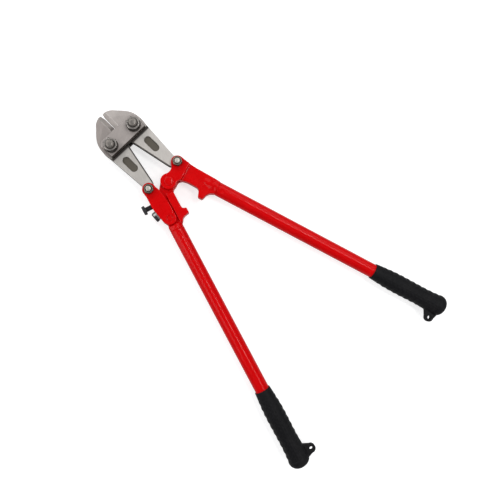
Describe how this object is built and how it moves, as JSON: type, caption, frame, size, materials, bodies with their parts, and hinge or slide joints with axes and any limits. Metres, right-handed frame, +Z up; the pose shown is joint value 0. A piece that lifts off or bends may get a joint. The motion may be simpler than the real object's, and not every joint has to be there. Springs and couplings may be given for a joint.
{
  "type": "bolt cutters",
  "caption": "Long-handled bolt cutters with compound-leverage jaws joined by strap plates, forged handle ends, a jaw adjuster, tubular handles and rubber grips with lanyard ears.",
  "frame": {"origin": "on the surface the tool lies on, at the centre of the pivot rivet's flat foot", "axes": "+Y from the handle pivot to the tips of the jaws along the tool's centre line, +Z up out of the surface, +X towards the right handle"},
  "size_m": [0.3398, 0.5664, 0.043],
  "materials": {
    "jaw_steel": "ground and brushed",
    "ground_steel": "ground, satin",
    "dark_steel": "dark, lightly oiled",
    "plated_steel": "zinc plated",
    "black_oxide": "black oxide",
    "red_paint": "gloss",
    "grip_rubber": "moulded, ribbed"
  },
  "bodies": {
    "head": {"strap_upper": "ground_steel", "strap_lower": "ground_steel", "jaw_bolt_left": "dark_steel", "jaw_bolt_right": "dark_steel", "jaw_washer_left": "dark_steel", "jaw_washer_right": "dark_steel", "jaw_nut_left": "dark_steel", "jaw_nut_right": "dark_steel"},
    "left_jaw": {"jaw_left": "jaw_steel", "tail_bolt_left": "plated_steel", "tail_nut_left": "plated_steel"},
    "right_jaw": {"jaw_right": "jaw_steel", "tail_bolt_right": "plated_steel", "tail_nut_right": "plated_steel"},
    "arm": {"adjuster_arm": "red_paint", "arm_pivot_pin": "red_paint", "lock_bolt": "black_oxide", "lock_washer": "plated_steel"},
    "push_bolt": {"adjusting_bolt": "black_oxide"},
    "left_handle": {"knuckle_left": "red_paint", "tube_left": "red_paint", "grip_left": "grip_rubber"},
    "right_handle": {"knuckle_right": "red_paint", "pivot_rivet": "red_paint", "tube_right": "red_paint", "grip_right": "grip_rubber"}
  },
  "joints": [
    {"name": "left_handle_swing", "type": "hinge", "parent": "left_jaw", "child": "arm", "pos_m": [-0.0288, 0.0114, 0.017], "axis": [0, 0, -1], "range_deg": [-12.3, 14.45]},
    {"name": "right_handle_swing", "type": "hinge", "parent": "right_jaw", "child": "right_handle", "pos_m": [0.0288, 0.0114, 0.017], "axis": [0, 0, 1], "range_deg": [-12.3, 14.45]},
    {"name": "left_jaw_swing", "type": "hinge", "parent": "head", "child": "left_jaw", "pos_m": [-0.0222, 0.0928, 0.017], "axis": [0, 0, 1], "range_deg": [-0.81, 0.95]},
    {"name": "right_jaw_swing", "type": "hinge", "parent": "head", "child": "right_jaw", "pos_m": [0.0222, 0.0928, 0.017], "axis": [0, 0, -1], "range_deg": [-0.81, 0.95]},
    {"name": "jaw_adjust", "type": "hinge", "parent": "arm", "child": "left_handle", "pos_m": [-0.03726, -0.03906, 0.017], "axis": [0, 0, -1], "range_deg": [0, 1.5]},
    {"name": "adjusting_bolt_travel", "type": "slide", "parent": "arm", "child": "push_bolt", "axis": [0.9532, -0.3024, 0], "range_m": [0, 0.0009]}
  ],
  "couplings": [
    {"joint": "right_handle_swing", "follows": "left_handle_swing", "ratio": 1},
    {"joint": "left_jaw_swing", "follows": "left_handle_swing", "ratio": 0.06542},
    {"joint": "right_jaw_swing", "follows": "left_handle_swing", "ratio": 0.06542},
    {"joint": "adjusting_bolt_travel", "follows": "jaw_adjust", "m_per_rad": 0.0279}
  ]
}
